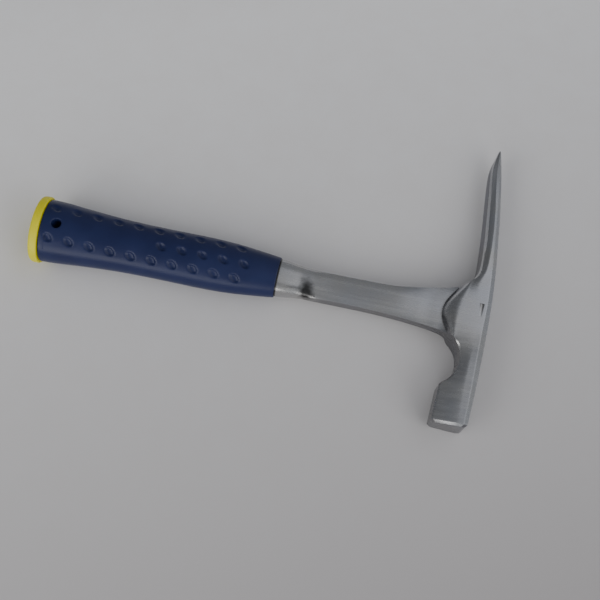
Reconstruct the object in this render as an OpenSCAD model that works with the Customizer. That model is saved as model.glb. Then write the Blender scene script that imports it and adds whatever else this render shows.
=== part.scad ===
// Pointed rock hammer: one drop forging with a tang, a moulded grip and an end cap.
// The tool lies on its side. +X runs along the handle to the crown of the head,
// +Y is the pick, -Y is the striking face, +Z is up through the cheek.
// The origin is under the middle of the whole tool, at the height that the cap rests on.

/* [Overall] */
// Length from the end cap to the crown of the head
overall_l = 282; // [278:1:286]
// Reach of the pick's point from the axis of the handle
pick_reach = 118.5; // [115:0.5:122]
// Reach of the striking face from the axis of the handle
face_reach = 70; // [68:0.5:72]

/* [Head] */
// Thickness of the head across its cheeks
head_t = 21; // [20:0.5:22]
// Width of the square striking face, along the handle
face_w = 21.5; // [21:0.5:22.5]
// Radius of the throat between the neck and the striking block
throat_r = 18.7; // [18.2:0.1:19.2]
// Radius of the inside corner between the neck and the pick
corner_r = 16.3; // [15.5:0.1:17]
// Width of the pick above the inside corner
pick_w = 9.6; // [9:0.2:10.4]
// Thickness of the pick half way along it
pick_t = 14.4; // [13:0.2:15]
// Thickness of the pick's point
point_t = 1.6; // [1:0.2:2]
// Length of the ground point
point_l = 15; // [14:1:18]
// Chamfer along the crown of the head
crown_chamfer = 2.8; // [1.5:0.1:3]
// Chamfer round the striking face
face_chamfer = 1.5; // [1:0.25:2.5]

/* [Neck] */
// Width of the neck at its narrowest
neck_w = 17.4; // [17:0.2:18.4]
// Thickness of the neck along its middle
neck_t = 9.6; // [8.8:0.2:10.4]
// Thickness of the neck at its edges
neck_edge_t = 4.4; // [3.6:0.2:5]
// Width of the steel swell that fills the mouth of the grip
swell_w = 23.6; // [23:0.1:23.8]
// Thickness of that swell
swell_t = 17.4; // [16:0.2:17.6]

/* [Tang] */
// Width of the tang inside the grip
tang_w = 17; // [14:0.5:18]
// Thickness of the tang
tang_t = 8; // [6:0.5:9]

/* [Grip] */
// Distance of the grip's mouth from the end of the cap
mouth_x = 152.5; // [150:0.5:156]
// Width of the grip at its butt
butt_w = 40.8; // [40:0.2:42]
// Width of the grip at its waist
waist_w = 32.4; // [32:0.2:33.6]
// Width of the grip at its mouth
mouth_w = 24.8; // [24.8:0.2:26]
// Thickness of the grip at its butt
butt_t = 29.2; // [28:0.2:31]
// Thickness of the grip at its waist
waist_t = 23.4; // [22:0.2:25]
// Thickness of the grip at its mouth
mouth_t = 18.6; // [18.6:0.2:20]
// Diameter of the lanyard hole
hole_d = 6; // [5:0.5:6.5]
// Distance of the lanyard hole from the end of the cap
hole_x = 15.6; // [15.6:0.2:18]

/* [End cap] */
// Length of the cap that shows behind the grip
cap_l = 6; // [5:0.5:6]
// How far the cap's rim stands out past the grip
cap_lip = 1; // [0.5:0.25:1.25]
// Radius round the cap's outer edge
cap_r = 4.5; // [3:0.5:4.5]

/* [Hidden] */
$fn = 96;

// Heights and places worked out from the driving dimensions
rest_z = butt_t / 2 + cap_lip;          // middle of the tool above what its cap lies on
spigot_x = cap_l + 3.5;                 // inner end of the cap's spigot
spigot_w = butt_w - 14;
spigot_t = butt_t - 12;
tang_x = hole_x + 10;                   // the tang stops short of the lanyard hole
seat_x = mouth_x - 4;                   // the swell seats this far inside the mouth
neck_x = mouth_x + 27;                  // the swell has run out into the neck
throat_x = overall_l - 33;
throat_y = -throat_r - 12.3;
block_x = overall_l - 4.4;              // crown side of the striking face
pick_x = overall_l - 0.2 - pick_w;      // handle side of the pick, above the corner
corner_x = pick_x - corner_r;
corner_y = 31;
hub_x = overall_l - 6.6;                // centre of the round boss that joins neck and head
hub_y = 1.5;
hub_mid_r = 22.8;                       // the boss at the middle of the tool
hub_cheek_r = 13.4;                     // and at the cheeks
hub_edge_x = hub_x - 4;                 // the head is at full thickness from here on
tip_x = overall_l - 6.5;                // the pick droops this far back from the crown
round_shift = 8;                        // how far apart the two flatter rounds of an oval are
deep = 60;                              // longer than any cut or blank is thick

// Half width and half thickness of the grip along its length, from the cap to the mouth
GRIP = [
    [cap_l, butt_w / 2 - 0.4, butt_t / 2 - 0.4], [cap_l + 3, butt_w / 2, butt_t / 2],
    [31, butt_w / 2 - 2.2, butt_t / 2 - 1.5], [56, waist_w / 2 + 0.6, waist_t / 2 + 0.5],
    [82, waist_w / 2, waist_t / 2], [108, waist_w / 2 + 0.2, waist_t / 2 + 0.1],
    [126, waist_w / 2 - 0.8, waist_t / 2 - 0.5], [140, waist_w / 2 - 2.1, waist_t / 2 - 1.3],
    [mouth_x, mouth_w / 2, mouth_t / 2]
];

// The same for the swell, from its seat in the grip to where the neck takes over
SWELL = [
    [seat_x, swell_w / 2, swell_t / 2], [mouth_x + 2, swell_w / 2, swell_t / 2],
    [mouth_x + 9, swell_w / 2 - 2.2, swell_t / 2 - 1.4],
    [mouth_x + 16, neck_t / 2 + 2.4, neck_t / 2 + 0.8], [neck_x, neck_t / 2, neck_t / 2 - 0.4]
];

// A point between stations b and c of a smooth run through a, b, c and d
function smooth(a, b, c, d, t) =
    0.5 * (2 * b + (c - a) * t + (2 * a - 5 * b + 4 * c - d) * t * t
           + (3 * b - a - 3 * c + d) * t * t * t);

// A smooth run through every station, with the given number of steps in each span
function run(stations, steps) = [
    for (i = [0 : len(stations) - 2], s = [0 : steps - 1])
        smooth(stations[max(i - 1, 0)], stations[i], stations[i + 1],
               stations[min(i + 2, len(stations) - 1)], s / steps),
    stations[len(stations) - 1]
];

// From the tool's own axis to the frame of the whole part
module in_place() {
    translate([-overall_l / 2, (face_reach - pick_reach) / 2, rest_z]) children();
}

// A body of oval section along the handle, from stations of [place, half width, half
// thickness]. Two flatter rounds, moved apart across the tool, overlap in its two faces,
// and a third round between them makes its two sides.
module oval_run(stations) {
    first = stations[0][0];
    last = stations[len(stations) - 1][0];
    intersection_for (side = [-1, 0, 1])
        translate([0, 0, side * round_shift]) rotate([90, 0, 90]) rotate_extrude()
            polygon(concat([[0, first]],
                           [for (p = stations) [side == 0 ? p[1] : p[2] + round_shift, p[0]]],
                           [[0, last]]));
}

// Side outline of the neck, from inside the swell to the middle of the head
module neck_outline() {
    half = neck_w / 2;
    top = run([[mouth_x, half + 3.1], [mouth_x + 12, half + 1.6], [neck_x, half - 0.2],
               [neck_x + 30, half - 0.2], [neck_x + 54, half + 1.7],
               [corner_x, corner_y - corner_r]], 3);
    under = run([[mouth_x, -half - 3.1], [mouth_x + 16, -half - 0.6], [neck_x, -half],
                 [neck_x + 42, -half - 0.8], [throat_x, throat_y + throat_r]], 3);
    polygon(concat(top, [[hub_x, corner_y - corner_r], [hub_x, throat_y + throat_r]],
                   [for (i = [len(under) - 1 : -1 : 0]) under[i]]));
}

// Side outline of the head: crown, striking block, throat, inside corner and pick
module head_outline() {
    difference() {
        polygon([
            [block_x - face_w + face_chamfer, -face_reach], [block_x - face_chamfer, -face_reach],
            [block_x, -face_reach + face_chamfer], [overall_l - 1.8, -34], [overall_l - 0.4, -10],
            [overall_l, 10], [overall_l, 30], [overall_l - 1, 60], [overall_l - 4, 96],
            [tip_x + 0.6, pick_reach], [tip_x - 0.4, pick_reach],
            [pick_x - 1, pick_reach - point_l], [pick_x - 1.5, 96], [pick_x - 0.8, 75],
            [pick_x + 0.1, 50], [pick_x, corner_y],
            [corner_x, corner_y], [corner_x, corner_y - corner_r],
            [throat_x, throat_y + throat_r], [block_x - face_w + 1.2, -47.5],
            [block_x - face_w, -face_reach + face_chamfer]
        ]);
        translate([throat_x, throat_y]) circle(throat_r);
        translate([corner_x, corner_y]) circle(corner_r);
    }
}

// Side outline of the whole forging outside the grip
module blank_outline() {
    neck_outline();
    head_outline();
}

// The part of the head's outline where it has its full thickness, clear of the neck
module thick_outline() {
    intersection() {
        head_outline();
        polygon([
            [hub_edge_x, corner_y - corner_r], [hub_edge_x, hub_y - 8],
            [throat_x + 8, throat_y + 11], [throat_x, -face_reach], [overall_l, -face_reach],
            [overall_l, pick_reach], [throat_x, pick_reach], [corner_x, corner_y]
        ]);
    }
}

// Outline of the head seen along the handle: how thick it is at each reach
module head_thickness() {
    half = head_t / 2;
    side = [
        [-face_reach, half - face_chamfer], [-face_reach + face_chamfer, half], [-48, half],
        [-28, half - 0.5], [-8, half], [12, half], [26, half - 1], [42, pick_t / 2 + 1.4],
        [62, pick_t / 2], [90, pick_t / 2 - 2.1], [pick_reach - point_l, pick_t / 2 - 3.7],
        [pick_reach, point_t / 2]
    ];
    polygon(concat(side, [for (i = [len(side) - 1 : -1 : 0]) [side[i][0], -side[i][1]]]));
}

// The head on its own, with its crown chamfered on both cheeks
module head() {
    difference() {
        intersection() {
            linear_extrude(deep, center = true) thick_outline();
            rotate([90, 0, 90]) linear_extrude(overall_l + deep) head_thickness();
        }
        for (cheek = [1, -1])
            translate([overall_l, 0, cheek * head_t / 2])
                rotate([0, 45, 0])
                    cube([crown_chamfer * sqrt(2), 2 * pick_reach, crown_chamfer * sqrt(2)],
                         center = true);
    }
}

// The round boss: a cone on each cheek that falls from the head to the flat of the neck
module hub() {
    intersection() {
        linear_extrude(deep, center = true) blank_outline();
        translate([hub_x, hub_y]) for (cheek = [0, 1]) mirror([0, 0, cheek])
            cylinder(h = head_t / 2, r1 = hub_mid_r, r2 = hub_cheek_r);
    }
}

// The neck: flat, crowned on both faces, thinner at its edges
module neck() {
    half = neck_w / 2;
    crown = [[-deep, neck_edge_t / 2], [-half, neck_edge_t / 2], [-half * 0.6, neck_t / 2 - 0.8],
             [0, neck_t / 2],
             [half * 0.6, neck_t / 2 - 0.8], [half, neck_edge_t / 2], [deep, neck_edge_t / 2]];
    intersection() {
        linear_extrude(deep, center = true) blank_outline();
        translate([mouth_x, 0, 0]) rotate([90, 0, 90]) linear_extrude(hub_x - mouth_x)
            polygon(concat(crown, [for (i = [len(crown) - 1 : -1 : 0]) [crown[i][0], -crown[i][1]]]));
    }
}

// The steel inside the grip: a flat tang and the swell that closes the mouth
module core() {
    oval_run(run(SWELL, 3));
    translate([tang_x, -tang_w / 2, -tang_t / 2]) cube([neck_x - tang_x, tang_w, tang_t]);
}

// Forged steel: head, neck, swell and tang in one piece
module forged_body() {
    color([0.6, 0.61, 0.63]) in_place() {
        core();
        neck();
        hub();
        head();
    }
}

// Vinyl grip moulded round the tang, with a lanyard hole through its butt
module grip() {
    color([0.07, 0.11, 0.32]) in_place() difference() {
        oval_run(run(GRIP, 3));
        core();
        spigot();
        translate([hole_x, 0, -deep / 2]) cylinder(h = deep, d = hole_d);
    }
}

// The spigot that keys the cap into the butt of the grip
module spigot() {
    oval_run([[cap_l - 1, spigot_w / 2, spigot_t / 2], [spigot_x, spigot_w / 2, spigot_t / 2]]);
}

// Plastic end cap: a rounded disc a little wider than the grip, with its spigot
module end_cap() {
    rim_w = butt_w / 2 + cap_lip;
    rim_t = butt_t / 2 + cap_lip;
    edge = [for (a = [0 : 15 : 90])
        [cap_r * (1 - cos(a)), rim_w - cap_r * (1 - sin(a)), rim_t - cap_r * (1 - sin(a))]];
    color([0.78, 0.7, 0.12]) in_place() {
        oval_run(concat(edge, [[cap_l - 0.6, rim_w, rim_t], [cap_l, rim_w - 0.8, rim_t - 0.8]]));
        spigot();
    }
}

forged_body();
grip();
end_cap();
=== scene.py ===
from bisect import bisect
from math import cos, pi, radians, sin, sqrt

import bmesh
import bpy
from mathutils import Matrix, Vector


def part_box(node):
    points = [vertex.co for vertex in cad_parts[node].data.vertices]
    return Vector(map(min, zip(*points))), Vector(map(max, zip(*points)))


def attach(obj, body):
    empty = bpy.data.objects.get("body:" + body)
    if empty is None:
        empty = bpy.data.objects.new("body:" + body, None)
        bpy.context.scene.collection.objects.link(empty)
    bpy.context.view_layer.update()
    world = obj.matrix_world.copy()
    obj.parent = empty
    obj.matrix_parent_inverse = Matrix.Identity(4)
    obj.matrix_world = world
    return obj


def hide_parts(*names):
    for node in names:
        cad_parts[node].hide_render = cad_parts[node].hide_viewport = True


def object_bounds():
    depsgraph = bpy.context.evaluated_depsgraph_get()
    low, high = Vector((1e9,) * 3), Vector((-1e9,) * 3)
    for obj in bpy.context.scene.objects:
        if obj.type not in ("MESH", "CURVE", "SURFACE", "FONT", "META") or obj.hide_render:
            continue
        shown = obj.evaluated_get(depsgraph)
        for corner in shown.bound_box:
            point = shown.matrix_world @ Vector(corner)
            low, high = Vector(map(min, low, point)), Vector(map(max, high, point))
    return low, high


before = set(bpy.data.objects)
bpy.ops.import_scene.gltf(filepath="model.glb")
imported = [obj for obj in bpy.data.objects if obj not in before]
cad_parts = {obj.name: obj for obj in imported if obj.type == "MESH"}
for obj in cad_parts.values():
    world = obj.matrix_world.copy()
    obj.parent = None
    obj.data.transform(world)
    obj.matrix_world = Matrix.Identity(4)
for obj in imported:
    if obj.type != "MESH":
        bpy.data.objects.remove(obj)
cad_low, cad_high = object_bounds()

# ---------------------------------------------------------------------------------------------
# The forging: head, neck, swell and tang are one drop forging in tool steel, ground along the
# crown, the pick and the striking block, then satin brushed. Both cheeks come out of the same
# die shape, so one cheek is laid out as a sheet of faces and mirrored.
# It is shaped on the bench in millimetres: x from the butt to the crown, y to the pick, z up
# through the cheek. set_down() then puts it where the tool lies in the frame.
cap_low, cap_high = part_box("end_cap")
cap_middle = (cap_low + cap_high) / 2
BENCH = Matrix.Translation((cap_low.x, cap_middle.y, cap_middle.z)) @ Matrix.Scale(0.001, 4)


def share_of(at, start, end):
    """How far a place has come from start to end, held between 0 and 1."""
    return min(max((at - start) / (end - start), 0), 1)


def fair(stations, at):
    """Value at one place of a smooth line through the stations (place, value)."""
    places = [place for place, value in stations]
    k = min(max(bisect(places, at) - 1, 0), len(stations) - 2)

    def slope(i):
        before, after = stations[max(i - 1, 0)], stations[min(i + 1, len(stations) - 1)]
        return (after[1] - before[1]) / (after[0] - before[0])

    (start, a), (end, b) = stations[k], stations[k + 1]
    span = end - start
    t = share_of(at, start, end)
    return ((2 * t ** 3 - 3 * t ** 2 + 1) * a + (t ** 3 - 2 * t ** 2 + t) * span * slope(k)
            + (3 * t ** 2 - 2 * t ** 3) * b + (t ** 3 - t ** 2) * span * slope(k + 1))


def steps(start, end, count):
    """Evenly spaced places from start up to, but not including, end."""
    return [start + (end - start) * i / count for i in range(count)]


def new_sheet(name, columns, rows):
    """A flat grid of faces; its vertices run along a row, then row by row."""
    bpy.ops.object.select_all(action="DESELECT")
    bpy.ops.mesh.primitive_grid_add(x_subdivisions=columns, y_subdivisions=rows, size=1)
    sheet = bpy.context.object
    sheet.name = name
    sheet.data.name = name
    return sheet


def choose(piece):
    """Makes one piece the only selected one."""
    bpy.ops.object.select_all(action="DESELECT")
    piece.select_set(True)
    bpy.context.view_layer.objects.active = piece


def edit(piece, mode="VERT"):
    """Opens one piece in edit mode with nothing selected and returns its edit mesh."""
    choose(piece)
    bpy.ops.object.mode_set(mode="EDIT")
    bpy.ops.mesh.select_mode(type=mode)
    bpy.ops.mesh.select_all(action="DESELECT")
    return bmesh.from_edit_mesh(piece.data)


def crease(piece, chosen, value):
    """Creases the edges that the chosen(vertex) test accepts at both ends."""
    mesh = edit(piece, "EDGE")
    for edge in mesh.edges:
        if all(chosen(v) for v in edge.verts):
            edge.select_set(True)
    bmesh.update_edit_mesh(piece.data)
    bpy.ops.transform.edge_crease(value=value)
    bpy.ops.object.mode_set(mode="OBJECT")


def finish_with(piece, kind, **settings):
    """Adds one modifier to the piece and applies it."""
    choose(piece)
    modifier = piece.modifiers.new(kind.lower(), kind)
    for setting, value in settings.items():
        setattr(modifier, setting, value)
    bpy.ops.object.modifier_apply(modifier=modifier.name)


def face_outward(piece):
    """Turns all the faces of the piece outward."""
    edit(piece)
    bpy.ops.mesh.select_all(action="SELECT")
    bpy.ops.mesh.normals_make_consistent(inside=False)
    bpy.ops.object.mode_set(mode="OBJECT")


def set_down(piece, smooth_angle):
    """Turns the piece's faces outward, shades it and puts it in its place in the frame."""
    face_outward(piece)
    bpy.ops.object.shade_smooth_by_angle(angle=radians(smooth_angle))
    piece.data.transform(BENCH)


# Guide lines of one cheek of the head: place along the head (y) against place along the tool
# or height above the middle plane. inner is the handle side, crown the outer side. The ridge
# runs between them, down the middle of the cheek.
CROWN = [(-70, 277.4), (-50, 279.2), (-30, 280.5), (-12, 281.5), (8, 282), (30, 281.9),
         (50, 281.3), (70, 280.4), (90, 278.9), (104, 277.6), (118.5, 276.1)]
INNER_PICK = [(19.6, 267.9), (22, 269.4), (26, 271.1), (31, 272), (50, 272.3), (75, 271.5),
              (96, 270.8), (103.5, 271.2), (111, 272.9), (118.5, 275.1)]
INNER_WIDTH = [(-70, 1.2), (-20, 1), (0, 1.1), (20, 1.1), (60, 1.4), (100, 1), (118.5, 0.2)]
INNER_STEEP = [(-70, 1), (15, 1), (26, 1.25), (104, 1.25), (118.5, 1)]
WALL_LEAN = [(19.6, 0), (22, 0), (34, 1), (60, 1.2), (94, 1), (112, 0), (118.5, 0)]
CROWN_WIDTH = [(-70, 2.3), (-48, 2.8), (-29, 3.2), (-12, 3.4), (5, 2.8), (20, 2.7), (40, 2.4),
               (80, 1.8), (104, 1.1), (118.5, 0.3)]
RIDGE = [(-70, 271.3), (-52, 271.5), (-32, 273), (-14, 274.8), (4, 273.5), (18, 272.8), (28, 275.9),
         (37, 277.1), (50, 277.6), (68, 277.1), (85, 275.8), (104, 275), (118.5, 275.6)]
RIDGE_UP = [(-70, 10.26), (-24, 10.28), (-10, 10.5), (18, 10.5), (26, 10.2), (32, 9.7), (42, 8.8),
            (62, 7.2), (90, 5.1), (104, 3.7), (112, 2.3), (118.5, 0.9)]
INNER_UP = [(-70, 8), (-46, 8.1), (-36, 8.8), (-28, 9.3), (-20, 9.6), (-12, 10.3), (-4, 10.5),
            (8, 10.5), (14, 10.3), (20, 9.5), (25, 8.9), (31, 8.4), (42, 7.7), (62, 6.3),
            (90, 4.45), (104, 3.2), (112, 1.8), (118.5, 0.6)]
# How round the cheek runs up to its ridge: 1 is flat, so the ridge is crisp there.
RIDGE_SOFT = [(-70, 1.25), (8, 1.25), (22, 1.7), (45, 1.6), (75, 1), (118.5, 1)]
face_reach = 70
face_chamfer = 1.4
throat = Vector((249.6, -30.6))
throat_r = 18.1
block_corner_y = -46.5
block_flare = 1.6                           # the block widens by this much towards its face
throat_split = Vector((262.4, -17.8))       # the neck's rows start between these two points
corner_split = Vector((267.9, 19.6))
hub_bow = 2                                 # how far the line between them bows to the handle
chamfer_run = 4.5                           # the inner chamfer fades out over this distance
crown_fall = 0.65                           # fall of the crown's chamfer over its width
pick_sink, block_rise = 0.0389, 0.24        # crown side below the pick's ridge, above the block's
wall_top, wall_foot = 0.5, 1.35             # shares of the wall's lean at the cheek and the middle


def inner_x(y):
    """Handle side of the head: block, throat, the line where the neck joins, and pick."""
    if y >= corner_split.y:
        return fair(INNER_PICK, y)
    if y >= throat_split.y:
        v = 2 * (y - throat_split.y) / (corner_split.y - throat_split.y) - 1
        middle = (throat_split.x + corner_split.x) / 2
        return middle + v * (corner_split.x - middle) - hub_bow * (1 - v * v)
    if y >= block_corner_y:
        return throat.x + sqrt(throat_r ** 2 - (y - throat.y) ** 2)
    corner_x = throat.x + sqrt(throat_r ** 2 - (block_corner_y - throat.y) ** 2)
    return corner_x + block_flare * (y - block_corner_y) / (face_reach + block_corner_y)


def inner_drop(y):
    """How far the narrow inner chamfer falls; it runs out where the neck joins."""
    clear = max(y - corner_split.y, throat_split.y - y, 0)
    return fair(INNER_STEEP, y) * share_of(clear, 0, chamfer_run) * fair(INNER_WIDTH, y)


def wall_lean(y):
    """How far the inner wall of the pick leans in from the middle plane to the cheek."""
    return fair(WALL_LEAN, y) if y > corner_split.y else 0


def head_guides(y):
    """Points (x, z) of the five guide lines across the head at one reach."""
    inner, crown = inner_x(y) + wall_top * wall_lean(y), fair(CROWN, y)
    inner_up, up = fair(INNER_UP, y), fair(RIDGE_UP, y)
    crown_up = up * (1 - pick_sink * share_of(y, 20, 40)) + block_rise * share_of(y, -10, -24)
    crown_width = fair(CROWN_WIDTH, y)
    guides = [(inner, inner_up - inner_drop(y)), (inner + fair(INNER_WIDTH, y), inner_up),
              (fair(RIDGE, y), up), (crown - crown_width, crown_up),
              (crown, crown_up - crown_fall * crown_width)]
    if y < -face_reach + 0.01:
        middle = (inner + crown) / 2
        shrink = 1 - face_chamfer / (crown - middle)
        guides = [(middle + (x - middle) * shrink, z - face_chamfer) for x, z in guides]
    return guides


HEAD_CELLS = [1, 6, 6, 2]                   # faces between one guide line and the next
inner_line = HEAD_CELLS[0]                  # the columns that lie on guide lines
ridge_line = inner_line + HEAD_CELLS[1]
crown_line = ridge_line + HEAD_CELLS[2]
sharp, outline_sharp, foot_sharp, ridge_sharp = 0.9, 0.88, 0.8, 0.6
root_y, crisp_y, taper_y, point_y = 31, 66, 104, 118.5      # along the pick
head_rows = ([-face_reach] + steps(-face_reach + face_chamfer, block_corner_y, 10)
             + steps(block_corner_y, throat_split.y, 18) + steps(throat_split.y, corner_split.y, 24)
             + steps(corner_split.y, root_y, 8) + steps(root_y, taper_y, 32)
             + steps(taper_y, point_y, 9) + [point_y])
forging = new_sheet("forged_body", sum(HEAD_CELLS), len(head_rows) - 1)
across = sum(HEAD_CELLS) + 1
for row, y in enumerate(head_rows):
    guides = head_guides(y)
    column = 0
    for g, cells in enumerate(HEAD_CELLS):
        (x0, z0), (x1, z1) = guides[g], guides[g + 1]
        for i in range(cells + (column + cells == across - 1)):
            t = i / cells
            to_ridge = g == 1
            rise = 1 - (1 - t) ** fair(RIDGE_SOFT, y) if to_ridge else t
            spot = (x0 + (x1 - x0) * t, y, z0 + (z1 - z0) * rise)
            forging.data.vertices[row * across + column + i].co = spot
        column += cells
crease(forging, lambda v: v.index % across == inner_line
       and not throat_split.y < v.co.y < corner_split.y, sharp)
crease(forging, lambda v: v.index % across == crown_line, sharp)
crease(forging, lambda v: v.index % across == ridge_line and v.co.y > crisp_y, ridge_sharp)
crease(forging, lambda v: v.index // across == 1, sharp)

# The neck's half of the cheek: rows run along the tool from the tang to the round boss. Its
# columns bend round the boss, so that the foot of the boss is a clean arc.
UPPER = [(152, 11.8), (156, 11.6), (165, 10), (176, 8.6), (190, 8.4), (205, 8.5), (223, 9),
         (235, 10.6), (250, 13.3), (256, 14.6), (262, 16.2), (265.5, 17.7), (267.9, 19.6)]
LOWER = [(152, -11.8), (156, -11.6), (165, -10.4), (178, -9.6), (205, -9.5), (225, -10.2),
         (240, -11.4), (250, -12.6), (256, -13.8), (259, -15.2), (262.4, -17.8)]
MIDDLE_UP = [(152, 8.7), (158, 7.85), (163, 7.1), (167, 6.5), (171, 6.1), (177, 5.6), (187, 5.05),
             (200, 4.8), (222, 4.85), (229, 4.8), (238, 4.55), (247, 4.3), (270, 4.3)]
UPPER_EDGE = [(152, 0.3), (160, 0.8), (170, 2.2), (180, 3.2), (228, 3.5), (240, 3.8), (254, 4.1),
              (262, 5.2), (267.9, 8.6)]
LOWER_EDGE = [(152, 0.3), (160, 0.6), (168, 1.4), (178, 3.2), (228, 3.2), (238, 3.4), (250, 3.7),
              (257, 4.5), (262.4, 8.2)]
tang_end, tang_width, tang_up = 25.5, 8.5, 4
seat_x, fan_x = 148.5, 225                  # end of the tang's step, start of the bent columns
swell_end, neck_start = 160, 178
swell_power, neck_power = 2.2, 3            # how full the cross-sections of swell and neck are
boss_x, boss_slant, boss_bow = 260.5, 1.6, 6.6
boss_full, boss_ease = 2.2, 1               # how full the boss rises, and how much less at the pick
boss_rows = 24
foot_end_y = -18                            # the boss's foot is soft beyond this, at the throat
wall_step = 0.85                            # height of the side wall's middle step


def neck_point(x, v):
    """A point of the cheek of the neck; v runs from -1 at its lower side to 1 at its upper."""
    if x < seat_x:
        return (x, v * tang_width, tang_up)
    upper, lower = fair(UPPER, x), fair(LOWER, x)
    edge = fair(UPPER_EDGE if v > 0 else LOWER_EDGE, x)
    neck_like = share_of(x, swell_end, neck_start)
    v = v * neck_like + sin(v * pi / 2) * (1 - neck_like)
    swell_up = (1 - abs(v) ** swell_power) ** (1 / swell_power)
    neck_up = 1 - abs(v) ** neck_power
    up = edge + (fair(MIDDLE_UP, x) - edge) * (swell_up * (1 - neck_like) + neck_up * neck_like)
    return (x, lower + (upper - lower) * (v + 1) / 2, up)


def boss_foot_x(v):
    """Where the round boss meets the flat of the neck."""
    return boss_x + boss_slant * v - boss_bow * (1 - v * v)


neck_columns = [tang_end, 60, 100, 140, seat_x - 1, seat_x, 150] + steps(151.5, fan_x, 49)
fan_cells, boss_cells = 20, 10
neck = new_sheet("neck", len(neck_columns) + fan_cells + boss_cells, boss_rows)
wide = len(neck_columns) + fan_cells + boss_cells + 1
for row in range(boss_rows + 1):
    v = 2 * row / boss_rows - 1
    y = throat_split.y + (corner_split.y - throat_split.y) * row / boss_rows
    foot = Vector(neck_point(boss_foot_x(v), v))
    cheek = Vector((inner_x(y), y, head_guides(y)[0][1]))
    line = [neck_point(x, v) for x in neck_columns]
    line += [neck_point(x, v) for x in steps(fan_x, foot.x, fan_cells)]
    full = boss_full - boss_ease * share_of(v, 0.3, 1)
    for i in range(boss_cells + 1):
        t = i / boss_cells
        spot = foot.lerp(cheek, t)
        spot.z = foot.z + (cheek.z - foot.z) * (1 - (1 - t) ** full)
        line.append(spot)
    for column, spot in enumerate(line):
        neck.data.vertices[row * wide + column].co = spot
crease(neck, lambda v: v.index % wide == wide - 1 - boss_cells
       and v.co.y > foot_end_y, foot_sharp)

bpy.ops.object.select_all(action="DESELECT")
neck.select_set(True)
forging.select_set(True)
bpy.context.view_layer.objects.active = forging
bpy.ops.object.join()
edit(forging)
bpy.ops.mesh.select_all(action="SELECT")
bpy.ops.mesh.remove_doubles(threshold=0.01)
# The side walls: the edge of the cheek is drawn down to the middle plane in two steps.
bpy.ops.mesh.select_all(action="DESELECT")
bpy.ops.mesh.select_mode(type="EDGE")
bpy.ops.mesh.select_non_manifold(extend=False)
bpy.ops.transform.edge_crease(value=outline_sharp)
bpy.ops.mesh.extrude_edges_move()
bpy.ops.transform.resize(value=(1, 1, wall_step), center_override=(0, 0, 0))
bpy.ops.mesh.extrude_edges_move()
bpy.ops.transform.resize(value=(1, 1, 0), center_override=(0, 0, 0))
mesh = bmesh.from_edit_mesh(forging.data)
for v in mesh.verts:
    if v.select and v.co.y > corner_split.y and v.co.x < fair(RIDGE, v.co.y):
        v.co.x -= wall_foot * wall_lean(v.co.y)
bmesh.update_edit_mesh(forging.data)
bpy.ops.object.mode_set(mode="OBJECT")
finish_with(forging, "MIRROR", use_axis=(False, False, True), merge_threshold=0.01)
finish_with(forging, "SUBSURF", levels=1, render_levels=1)
# A shallow wedge left by the die's centre mark, near the crown on each cheek.
mark_x, mark_y, mark_up = 276, 0.9, 12.65
mark_long, mark_wide, mark_narrow = 10.3, 2.6, 2.05
for side in (1, -1):
    bpy.ops.object.select_all(action="DESELECT")
    bpy.ops.mesh.primitive_cone_add(vertices=32, radius1=mark_wide, radius2=mark_narrow,
                                    depth=mark_long, location=(mark_x, mark_y, side * mark_up),
                                    rotation=(radians(90), 0, 0))
    mark = bpy.context.object
    face_outward(mark)
    finish_with(forging, "BOOLEAN", operation="DIFFERENCE", object=mark, solver="EXACT")
    bpy.data.objects.remove(mark)
set_down(forging, 20)


def effect(name, inputs, outputs):
    """An empty shader effect; inputs and outputs are (name, kind) pairs."""
    group = bpy.data.node_groups.new(name, "ShaderNodeTree")
    for socket, kind in inputs:
        group.interface.new_socket(name=socket, in_out="INPUT", socket_type="NodeSocket" + kind)
    for socket, kind in outputs:
        group.interface.new_socket(name=socket, in_out="OUTPUT", socket_type="NodeSocket" + kind)
    return group, group.nodes.new("NodeGroupInput"), group.nodes.new("NodeGroupOutput")


def wire(tree, *pairs):
    """Joins sockets: each pair is (from node, its output, to node, its input)."""
    for source, output, target, socket in pairs:
        tree.links.new(source.outputs[output], target.inputs[socket])


def noise(tree, scale, detail, rough=0.5):
    """A noise texture node with a fixed scale."""
    node = tree.nodes.new("ShaderNodeTexNoise")
    node.inputs["Scale"].default_value = scale
    node.inputs["Detail"].default_value = detail
    node.inputs["Roughness"].default_value = rough
    return node


def ranged(tree, low, high, to_low, to_high):
    """A node that turns the range low to high into to_low to to_high."""
    node = tree.nodes.new("ShaderNodeMapRange")
    for socket, value in zip(("From Min", "From Max", "To Min", "To Max"), (low, high, to_low, to_high)):
        node.inputs[socket].default_value = value
    return node


def blend(tree, a=None, b=None, mode="MIX", share=None):
    """A colour mixing node with its plain colours and its share set."""
    node = tree.nodes.new("ShaderNodeMix")
    node.data_type = "RGBA"
    node.blend_type = mode
    for socket, value in ((6, a), (7, b), (0, share)):
        if value is not None:
            node.inputs[socket].default_value = value
    return node


# Brushing: hairlines much longer than they are wide, with broader streaks under them.
brushing, group_in, group_out = effect(
    "brushing", [("Place", "Vector"), ("Hairs", "Vector"), ("Streaks", "Vector")],
    [("Height", "Float"), ("Streak", "Float")])
for socket, output in (("Hairs", "Height"), ("Streaks", "Streak")):
    stretch = brushing.nodes.new("ShaderNodeVectorMath")
    stretch.operation = "MULTIPLY"
    grain = noise(brushing, 1, 4, 0.6)
    wire(brushing, (group_in, "Place", stretch, 0), (group_in, socket, stretch, 1),
         (stretch, 0, grain, "Vector"), (grain, "Fac", group_out, output))

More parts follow.
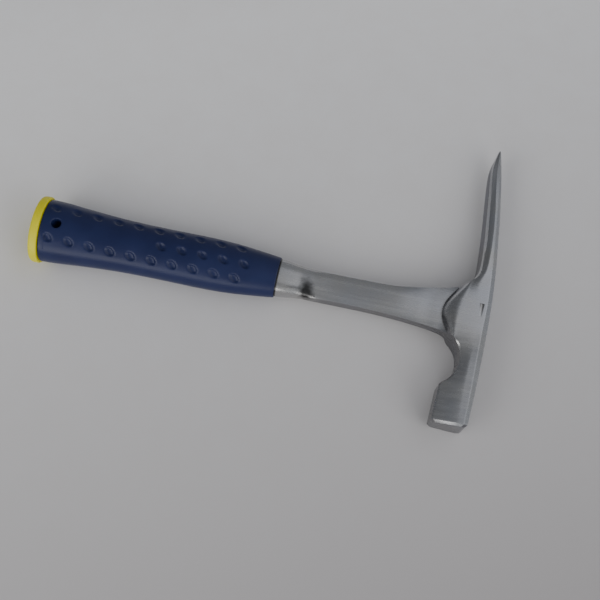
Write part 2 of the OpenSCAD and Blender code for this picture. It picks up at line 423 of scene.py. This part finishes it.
steel = bpy.data.materials.new("satin_steel")
steel.use_nodes = True
tree = steel.node_tree
shader = tree.nodes["Principled BSDF"]
shader.inputs["Metallic"].default_value = 1
place = tree.nodes.new("ShaderNodeTexCoord")
apart = tree.nodes.new("ShaderNodeSeparateXYZ")
on_pick = ranged(tree, cap_middle.y + 0.022, cap_middle.y + 0.034, 0, 1)
wire(tree, (place, "Object", apart, 0), (apart, "Y", on_pick, "Value"))
lays = []
for hairs, streaks in (((70, 2600, 2600), (9, 420, 420)), ((2600, 70, 2600), (420, 9, 420))):
    lay = tree.nodes.new("ShaderNodeGroup")
    lay.node_tree = brushing
    lay.inputs["Hairs"].default_value = hairs
    lay.inputs["Streaks"].default_value = streaks
    wire(tree, (place, "Object", lay, "Place"))
    lays.append(lay)
picked = {}
for output in ("Height", "Streak"):
    picked[output] = tree.nodes.new("ShaderNodeMix")
    wire(tree, (on_pick, 0, picked[output], 0), (lays[0], output, picked[output], 2),
         (lays[1], output, picked[output], 3))
cloud = noise(tree, 38, 3)
tone = blend(tree, (0.475, 0.485, 0.51, 1), (0.5, 0.495, 0.485, 1))
streaked = blend(tree, b=(0.8, 0.8, 0.81, 1), mode="MULTIPLY")
streak_share = ranged(tree, 0.35, 0.65, 0.45, 0)
edge = tree.nodes.new("ShaderNodeNewGeometry")
worn = ranged(tree, 0.515, 0.56, 0, 0.25)
# Painted shade: the hollows, found by low pointiness, are darkened to a brownish grey.
hollow_shade_share = ranged(tree, 0.49, 0.44, 0, 0.6)
bright = blend(tree, b=(0.78, 0.78, 0.79, 1))
painted_hollow_shade = blend(tree, b=(0.3, 0.28, 0.26, 1))
cloud_share = ranged(tree, 0.35, 0.65, 0, 1)
roughness = ranged(tree, 0.3, 0.7, 0.22, 0.3)
# Painted shade: the upright walls are darkened and stand in for the shaded floor close to the tool that
# they reflect. The struck face is darkened nearly as much, and the swell not at all.
facing = tree.nodes.new("ShaderNodeSeparateXYZ")
upright = tree.nodes.new("ShaderNodeMath")
upright.operation = "ABSOLUTE"
walled = ranged(tree, 0.6, 0.54, 0, 0.85)
struck = ranged(tree, cap_middle.y - 0.066, cap_middle.y - 0.069, 1, 0.95)
on_neck = ranged(tree, cap_low.x + 0.168, cap_low.x + 0.182, 0, 1)
share = tree.nodes.new("ShaderNodeMath")
share.operation = "MULTIPLY"
wall_shade_share = tree.nodes.new("ShaderNodeMath")
wall_shade_share.operation = "MULTIPLY"
painted_wall_shade = blend(tree, b=(0.42, 0.42, 0.44, 1), mode="MULTIPLY")
wire(tree, (edge, "Normal", facing, 0), (facing, "Z", upright, 0), (upright, 0, walled, "Value"),
     (apart, "Y", struck, "Value"), (walled, 0, share, 0), (struck, 0, share, 1),
     (apart, "X", on_neck, "Value"), (share, 0, wall_shade_share, 0), (on_neck, 0, wall_shade_share, 1),
     (wall_shade_share, 0, painted_wall_shade, 0))
bump = tree.nodes.new("ShaderNodeBump")
bump.inputs["Strength"].default_value = 0.07
bump.inputs["Distance"].default_value = 0.0002
wire(tree, (place, "Object", cloud, "Vector"), (cloud, "Fac", cloud_share, "Value"),
     (cloud_share, 0, tone, 0), (tone, 2, streaked, 6),
     (picked["Streak"], 0, streak_share, "Value"), (streak_share, 0, streaked, 0),
     (edge, "Pointiness", worn, "Value"), (edge, "Pointiness", hollow_shade_share, "Value"),
     (streaked, 2, bright, 6), (worn, 0, bright, 0), (bright, 2, painted_hollow_shade, 6), (hollow_shade_share, 0, painted_hollow_shade, 0),
     (painted_hollow_shade, 2, painted_wall_shade, 6), (picked["Streak"], 0, roughness, "Value"),
     (roughness, 0, shader, "Roughness"), (picked["Height"], 0, bump, "Height"),
     (bump, "Normal", shader, "Normal"))
# Painted dark reflection: a ragged dark patch where the swell runs out into the neck.
offset = tree.nodes.new("ShaderNodeMapping")
offset.vector_type = "TEXTURE"
dark_patch_place = (cap_low.x + 0.1718, cap_middle.y - 0.0076, cap_middle.z + 0.0045)
offset.inputs["Location"].default_value = dark_patch_place
offset.inputs["Rotation"].default_value = (0, 0, radians(14))
offset.inputs["Scale"].default_value = (0.0056, 0.0108, 0.0064)
away = tree.nodes.new("ShaderNodeVectorMath")
away.operation = "LENGTH"
ragged = tree.nodes.new("ShaderNodeMath")
ragged.operation = "ADD"
dark_patch_noise = noise(tree, 260, 3)
dark_patch_share = ranged(tree, 1.55, 0.8, 0, 0.93)
painted_dark_reflection = blend(tree, b=(0.1, 0.1, 0.1, 1), mode="MULTIPLY")
wire(tree, (place, "Object", offset, 0), (offset, 0, away, 0), (away, "Value", ragged, 0),
     (dark_patch_noise, "Fac", ragged, 1), (place, "Object", dark_patch_noise, "Vector"), (ragged, 0, dark_patch_share, "Value"),
     (dark_patch_share, 0, painted_dark_reflection, 0), (painted_wall_shade, 2, painted_dark_reflection, 6))
# Painted shade: a dark line in the corner where the vinyl ends.
seam_shade_share = ranged(tree, cap_low.x + 0.1537, cap_low.x + 0.1529, 0, 0.93)
painted_seam_shade = blend(tree, b=(0.02, 0.02, 0.022, 1))
wire(tree, (apart, "X", seam_shade_share, "Value"), (seam_shade_share, 0, painted_seam_shade, 0), (painted_dark_reflection, 2, painted_seam_shade, 6),
     (painted_seam_shade, 2, shader, "Base Color"))
forging.data.materials.clear()
forging.data.materials.append(steel)
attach(forging, "root")
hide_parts("forged_body")

# ---------------------------------------------------------------------------------------------
# The grip: soft vinyl moulded straight on to the tang. It is oval and waisted, with rows of
# slanting dimples pressed into both faces, a lanyard hole through the butt and a plain lip at
# the mouth.
ring_sides = 24
ring_gain = 3 / (2 + cos(2 * pi / ring_sides))      # makes up for what smoothing draws in


def new_ring(name, x, half_w, half_t):
    """An oval disc across the tool, the start of a turned piece."""
    bpy.ops.object.select_all(action="DESELECT")
    bpy.ops.mesh.primitive_circle_add(vertices=ring_sides, radius=ring_gain, fill_type="NGON",
                                      location=(x, 0, 0), rotation=(0, pi / 2, 0))
    piece = bpy.context.object
    bpy.ops.object.transform_apply(location=True, rotation=True, scale=True)
    piece.name = name
    piece.data.name = name
    edit(piece)
    bpy.ops.mesh.select_all(action="SELECT")
    bpy.ops.transform.resize(value=(1, half_w, half_t), center_override=(x, 0, 0))
    bpy.ops.object.mode_set(mode="OBJECT")
    return piece


def draw_out(piece, stations):
    """Draws the piece's only face through the stations (x, half width, half thickness)."""
    edit(piece, "FACE")
    bpy.ops.mesh.select_all(action="SELECT")
    x0, w0, t0 = stations[0]
    for x, w, t in stations[1:]:
        bpy.ops.mesh.extrude_region_move(TRANSFORM_OT_translate={"value": (x - x0, 0, 0)})
        bpy.ops.transform.resize(value=(1, w / w0, t / t0), center_override=(x, 0, 0))
        x0, w0, t0 = x, w, t
    bpy.ops.object.mode_set(mode="OBJECT")


WIDTH = [(6.2, 20), (10, 20.3), (20, 19.4), (34, 18.2), (47, 17.3), (60, 16.7), (82, 16.5),
         (108, 16.6), (126, 15.9), (140, 14.4), (152.5, 12.9)]
THICK = [(6.2, 14.5), (10, 14.6), (20, 14.1), (34, 13.2), (47, 12.6), (60, 12.2), (82, 11.8),
         (108, 11.9), (126, 11.3), (140, 10.5), (152.5, 9.4)]
# The outline is drawn out from the end of the tang's pocket through the mouth, then back along
# the skin to the butt and into the pocket for the cap's spigot.
GRIP = [(25.4, 11.5, 6), (26, 11.5, 6), (80, 11.5, 6), (144, 11.5, 6.2), (147.5, 12.2, 9),
        (151.6, 12.35, 9.1), (152.2, 12.4, 9.15), (152.5, 12.6, 9.25)]
GRIP += [(x, fair(WIDTH, x), fair(THICK, x)) for x in [152.1, 151] + steps(147, 8.5, 20) + [7.4, 6.5]]
GRIP += [(6.2, 18.9, 13.4), (6.2, 14.4, 9.4), (6.3, 13.6, 8.8), (9.6, 13.6, 8.8), (9.7, 13, 8.2)]
grip = new_ring("grip", *GRIP[0])
draw_out(grip, GRIP)
finish_with(grip, "SUBSURF", levels=3, render_levels=3)

dimple_step = 12.82
DIMPLES = [(start + dimple_step * i, row_y) for start, row_y, count
           in ((12.4, -9.6, 10), (12.4, 10.4, 10), (80.6, -0.2, 5)) for i in range(count)]
dimple_l, dimple_w, dimple_turn = 3.7, 2.4, radians(-38)
dimple_deep, worn_deep = 1.3, 0.845         # the row on the pick's side is worn shallower
dimple_fill = 1.35                          # over 1, the floor of a dimple is flat
reach_x, reach_y = 4, 5                     # no dimple reaches further than this
skin_share = 0.9                            # the skin lies outside this share of the oval


def oval_up(x, y):
    """Height of the grip's skin above the middle plane."""
    return fair(THICK, x) * sqrt(max(0, 1 - (y / fair(WIDTH, x)) ** 2))


skin = [v for v in grip.data.vertices if (v.co.y / fair(WIDTH, v.co.x)) ** 2
        + (v.co.z / fair(THICK, v.co.x)) ** 2 > skin_share ** 2 and 8 < v.co.x < 151]
for dimple_x, dimple_y in DIMPLES:
    dimple_z = oval_up(dimple_x, dimple_y)
    for v in skin:
        along = v.co.x - dimple_x
        if abs(along) > reach_x or abs(v.co.y - dimple_y) > reach_y:
            continue
        round_skin = sqrt((v.co.y - dimple_y) ** 2 + (abs(v.co.z) - dimple_z) ** 2)
        over = round_skin if v.co.y > dimple_y else -round_skin
        u = (along * cos(dimple_turn) + over * sin(dimple_turn)) / dimple_l
        w = (over * cos(dimple_turn) - along * sin(dimple_turn)) / dimple_w
        inside = share_of(dimple_fill * (1 - u * u - w * w), 0, 1)
        deep = (worn_deep if dimple_y > 5 else dimple_deep) * inside * inside * (3 - 2 * inside)
        slope = Vector((0, v.co.y / fair(WIDTH, v.co.x) ** 2, v.co.z / fair(THICK, v.co.x) ** 2))
        v.co -= slope.normalized() * deep

hole_x, hole_r = 15.6, 3
lip_r, cut_r, bevel_r = hole_r + 0.7, hole_r + 0.5, hole_r + 0.25
# The butt is cut a little out of square, so the cap leans with it. The skin next to the hole
# is left where it is, so the hole stays upright.
butt_lean = 0.052
for v in grip.data.vertices:
    if abs(v.co.x - hole_x) > 5:
        v.co.x -= butt_lean * v.co.y * share_of(v.co.x, 34, 8)
edit(grip)
for side in (1, -1):
    mesh = bmesh.from_edit_mesh(grip.data)
    bpy.ops.mesh.select_all(action="DESELECT")
    for v in mesh.verts:
        if v.co.z * side > 10 and (v.co.x - hole_x) ** 2 + v.co.y ** 2 < cut_r ** 2:
            v.select_set(True)
    mesh.select_flush_mode()
    bmesh.update_edit_mesh(grip.data)
    bpy.ops.mesh.delete(type="VERT")
rims = []
for side in (1, -1):
    mesh = bmesh.from_edit_mesh(grip.data)
    bpy.ops.mesh.select_all(action="DESELECT")
    for edge in mesh.edges:
        if edge.is_boundary and all(v.co.z * side > 0 for v in edge.verts):
            edge.select_set(True)
            for v in edge.verts:
                out = Vector((v.co.x - hole_x, v.co.y)).normalized() * lip_r
                v.co.x, v.co.y = hole_x + out.x, out.y
                v.co.z = side * oval_up(v.co.x, v.co.y)
    bmesh.update_edit_mesh(grip.data)
    bpy.ops.mesh.select_mode(type="EDGE")
    for shrink, sink in ((bevel_r / lip_r, 0.12), (hole_r / bevel_r, 0.4)):
        bpy.ops.mesh.extrude_edges_move()
        bpy.ops.transform.resize(value=(shrink, shrink, 1), center_override=(hole_x, 0, 0))
        bpy.ops.transform.translate(value=(0, 0, -side * sink))
mesh = bmesh.from_edit_mesh(grip.data)
bpy.ops.mesh.select_all(action="DESELECT")
for edge in mesh.edges:
    if edge.is_boundary:
        edge.select_set(True)
bmesh.update_edit_mesh(grip.data)
bpy.ops.mesh.bridge_edge_loops()
bpy.ops.object.mode_set(mode="OBJECT")
set_down(grip, 50)

# Moulded skin: the fine grain of the mould, with faint clouds of handling over it.
skin_grain, group_in, group_out = effect(
    "moulded_skin", [("Place", "Vector"), ("Grain", "Float"), ("Clouds", "Float")],
    [("Height", "Float"), ("Cloud", "Float")])
for socket, output, detail in (("Grain", "Height", 2), ("Clouds", "Cloud", 5)):
    grain = noise(skin_grain, 1, detail)
    wire(skin_grain, (group_in, "Place", grain, "Vector"), (group_in, socket, grain, "Scale"),
         (grain, "Fac", group_out, output))


def moulded(name, deep, pale, rough_low, rough_high, grain, clouds):
    """A moulded plastic with fine grain; deep and pale are the two ends of its colour."""
    material = bpy.data.materials.new(name)
    material.use_nodes = True
    tree = material.node_tree
    shader = tree.nodes["Principled BSDF"]
    place = tree.nodes.new("ShaderNodeTexCoord")
    skin = tree.nodes.new("ShaderNodeGroup")
    skin.node_tree = skin_grain
    skin.inputs["Grain"].default_value = grain
    skin.inputs["Clouds"].default_value = clouds
    share = ranged(tree, 0.35, 0.7, 0, 1)
    colour = blend(tree, deep, pale)
    roughness = ranged(tree, 0.3, 0.7, rough_low, rough_high)
    bump = tree.nodes.new("ShaderNodeBump")
    bump.inputs["Strength"].default_value = 0.1
    bump.inputs["Distance"].default_value = 0.0002
    wire(tree, (place, "Object", skin, "Place"), (skin, "Cloud", share, "Value"), (share, 0, colour, 0),
         (colour, 2, shader, "Base Color"), (skin, "Cloud", roughness, "Value"),
         (roughness, 0, shader, "Roughness"), (skin, "Height", bump, "Height"),
         (bump, "Normal", shader, "Normal"))
    return material, shader


vinyl, shader = moulded("blue_vinyl", (0.012, 0.019, 0.075, 1), (0.015, 0.024, 0.09, 1),
                        0.29, 0.38, 2600, 60)
shader.inputs["IOR"].default_value = 1.42
grip.data.materials.clear()
grip.data.materials.append(vinyl)
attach(grip, "root")
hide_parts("grip")

# ---------------------------------------------------------------------------------------------
# The end cap: a yellow plastic disc with a rounded rim that stands a little proud of the grip.
# It is moulded on its own and keyed into the butt with a short spigot.
cap_w, cap_t = 21.5, 15.7
CAP = [(x, cap_w * share - off, cap_t * share - off) for x, share, off in
       [(0, 0.25, 0), (0.02, 0.5, 0), (0.06, 0.75, 0), (0.2, 1, 2.2), (0.7, 1, 0.9), (1.6, 1, 0.2),
        (3, 1, 0), (5.2, 1, 0), (5.9, 1, 0.2), (6.1, 1, 0.8), (6.1, 1, 4)]]
CAP += [(6.15, 13.6, 8.6), (6.5, 13.4, 8.6), (9.2, 13.4, 8.6), (9.4, 12.8, 8)]
cap = new_ring("end_cap", *CAP[0])
draw_out(cap, CAP)
finish_with(cap, "SUBSURF", levels=3, render_levels=3)
for v in cap.data.vertices:
    v.co.x -= butt_lean * v.co.y
set_down(cap, 50)

plastic, shader = moulded("yellow_plastic", (0.83, 0.745, 0.004, 1), (0.89, 0.81, 0.015, 1),
                          0.38, 0.5, 2200, 90)
cap.data.materials.clear()
cap.data.materials.append(plastic)
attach(cap, "root")
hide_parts("end_cap")

# ---------------------------------------------------------------------------------------------
# The studio: a pale floor that rises from the cap's rim to the cheek of the head, whose crown
# side sinks half a millimetre into it, soft lamps, and the camera above the handle, looking
# towards the pick.
head_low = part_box("forged_body")[0]
lean_run = 0.251                            # the floor has risen to the head's underside here
bpy.ops.object.select_all(action="DESELECT")
bpy.ops.mesh.primitive_plane_add(size=8, location=(cap_low.x + 0.005, 0, cap_low.z))
floor = bpy.context.object
floor.name = "floor"
floor.rotation_euler = (0, -(head_low.z - cap_low.z) / lean_run, 0)
pale = bpy.data.materials.new("pale_floor")
pale.use_nodes = True
tree = pale.node_tree
shader = tree.nodes["Principled BSDF"]
shader.inputs["Roughness"].default_value = 0.85
place = tree.nodes.new("ShaderNodeTexCoord")
mottle = noise(tree, 45, 6, 0.65)
share = ranged(tree, 0.3, 0.7, 0, 1)
colour = blend(tree, (0.96, 0.945, 0.94, 1), (0.99, 0.985, 0.99, 1))
# Painted shade: the floor's colour is darkened towards the front and the head's side, for the way the
# light falls off there.
apart = tree.nodes.new("ShaderNodeVectorMath")
apart.operation = "DOT_PRODUCT"
apart.inputs[1].default_value = (-0.4, 0.92, 0)
floor_shade_share = ranged(tree, -0.3, 0.12, 1, 0)
painted_floor_shade = blend(tree, b=(0.47, 0.45, 0.45, 1))
wire(tree, (place, "Object", mottle, "Vector"), (mottle, "Fac", share, "Value"), (share, 0, colour, 0),
     (place, "Object", apart, 0), (apart, "Value", floor_shade_share, "Value"), (floor_shade_share, 0, painted_floor_shade, 0),
     (colour, 2, painted_floor_shade, 6), (painted_floor_shade, 2, shader, "Base Color"))
floor.data.materials.append(pale)

# The room is dimmer on the butt's side than on the head's, brighter in front of the tool than
# behind it, and dark where someone stands at its right front.
world = bpy.data.worlds.new("studio")
world.use_nodes = True
tree = world.node_tree
place = tree.nodes.new("ShaderNodeTexCoord")
apart = tree.nodes.new("ShaderNodeSeparateXYZ")
side = ranged(tree, -0.35, 0.45, 0, 1)
colour = blend(tree, (0.165, 0.17, 0.18, 1), (0.38, 0.39, 0.405, 1))
front = ranged(tree, 0.35, -0.3, 1, 1.35)
fronted = tree.nodes.new("ShaderNodeVectorMath")
fronted.operation = "SCALE"
toward = tree.nodes.new("ShaderNodeVectorMath")
toward.operation = "DOT_PRODUCT"
toward.inputs[1].default_value = (0.445, -0.456, 0.77)
stander = ranged(tree, 0.92, 0.98, 0, 0.9)
shaded = blend(tree, b=(0.02, 0.02, 0.022, 1))
wire(tree, (place, "Generated", apart, 0), (apart, "X", side, "Value"), (side, 0, colour, 0),
     (apart, "Y", front, "Value"), (colour, 2, fronted, 0), (front, 0, fronted, "Scale"),
     (place, "Generated", toward, 0), (toward, "Value", stander, "Value"), (stander, 0, shaded, 0),
     (fronted, 0, shaded, 6), (shaded, 2, tree.nodes["Background"], "Color"))
bpy.context.scene.world = world


def lamp(name, place, aim, size_x, size_y, glow, tint):
    """A soft rectangular lamp at a place in metres, aimed at a point; glow is its brightness."""
    light = bpy.data.lights.new(name, "AREA")
    light.shape = "RECTANGLE"
    light.size, light.size_y = size_x, size_y
    light.energy = glow * pi * size_x * size_y
    light.color = tint
    holder = bpy.data.objects.new(name, light)
    holder.location = place
    holder.rotation_euler = (Vector(aim) - Vector(place)).to_track_quat("-Z", "Y").to_euler()
    bpy.context.scene.collection.objects.link(holder)


lamp("front_lamp", (-0.42, -1, 0.48), (-0.1, 0, 0), 1.1, 0.42, 2.4, (1, 0.99, 0.98))
lamp("left_lamp", (-0.8, -0.6, 0.75), (0, 0, 0), 0.8, 0.7, 1.6, (1, 1, 1))
lamp("right_lamp", (0.95, -0.65, 0.8), (0, 0, 0), 0.9, 0.8, 1.9, (1, 1, 1))
lamp("top_lamp", (0.65, 0.26, 1.015), (0.65, 0.26, 0), 0.78, 1.22, 0.55, (0.92, 0.93, 1))

camera = bpy.data.objects.new("camera", bpy.data.cameras.new("camera"))
camera.data.lens = 49.74
camera.data.sensor_width = 36
camera.location = (cad_low.x + 0.19126, cap_middle.y - 0.18756, cap_middle.z + 0.4701)
camera.rotation_euler = (radians(20.63), radians(-1.739), radians(11.856))
bpy.context.scene.collection.objects.link(camera)
bpy.context.scene.camera = camera
